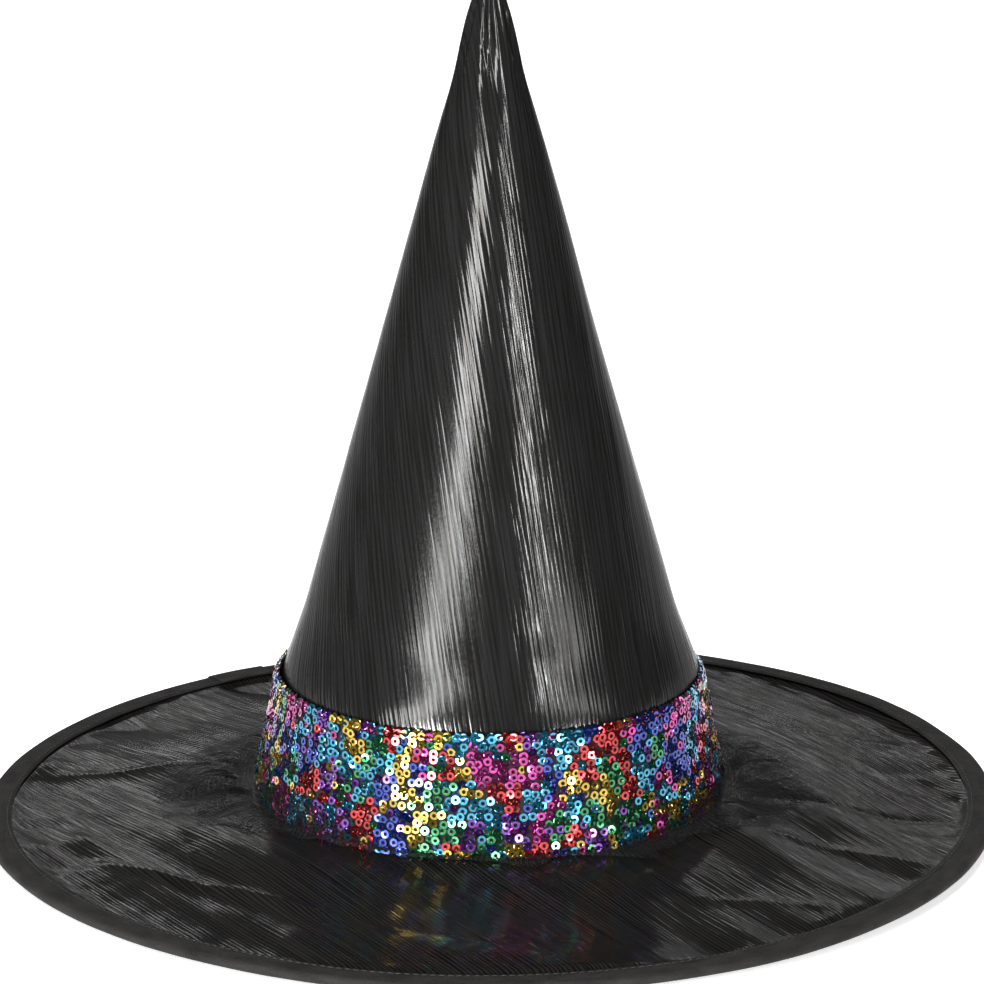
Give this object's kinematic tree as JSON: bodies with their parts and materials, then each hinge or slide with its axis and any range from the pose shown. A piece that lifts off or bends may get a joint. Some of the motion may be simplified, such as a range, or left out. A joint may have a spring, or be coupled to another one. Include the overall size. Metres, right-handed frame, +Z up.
{
  "type": "witch hat",
  "caption": "Pointed costume hat with a stiff satin cone, a wide wired brim with a bound edge, a sequined band and gathered net around its foot.",
  "frame": {"origin": "centre of the rim on the surface that the hat stands on", "axes": "+Z up through the tip, -Y to the front of the hat, the crown's seam at +Y"},
  "size_m": [0.408, 0.408, 0.35],
  "materials": {
    "crown_satin": "glossy crinkle satin, fine straight ridges",
    "brim_satin": "crinkle satin with a grey sheen, puckered at the rim",
    "interlining": "matt non-woven stiffener",
    "binding_tape": "matt folded tape, fine plain weave",
    "thread": "spun polyester thread",
    "wire_steel": "drawn spring wire",
    "sequin": "metallised ring sequins in swirling rainbow colours",
    "sequin_net": "black knitted net",
    "tulle_net": "fine black hexagonal net",
    "ribbon": "ribbed grosgrain ribbon",
    "label_satin": "blank white woven tab"
  },
  "bodies": {
    "root": {"crown_shell": "crown_satin", "crown_interlining": "interlining", "crown_seam_allowance": "crown_satin", "crown_seam_thread": "thread", "tip_bartack": "thread", "brim_top_cover": "brim_satin", "brim_interlining": "interlining", "brim_under_cover": "brim_satin", "brim_wire": "wire_steel", "brim_wire_ferrule": "wire_steel", "rim_binding": "binding_tape", "rim_binding_end": "binding_tape", "rim_needle_thread": "thread", "rim_bobbin_thread": "thread", "head_seam_thread": "thread", "sweatband": "ribbon", "sweatband_lap": "ribbon", "sweatband_thread": "thread", "care_label": "label_satin", "care_label_thread": "thread", "sequin_layer": "sequin", "sequin_net": "sequin_net", "sequin_band_lap": "sequin", "sequin_band_tack_1": "thread", "sequin_band_tack_2": "thread", "sequin_band_tack_3": "thread", "sequin_band_tack_4": "thread", "tulle_wrap": "tulle_net", "tulle_gather_thread": "thread", "tulle_tack_1": "thread", "tulle_tack_2": "thread", "tulle_tack_3": "thread"}
  },
  "joints": []
}
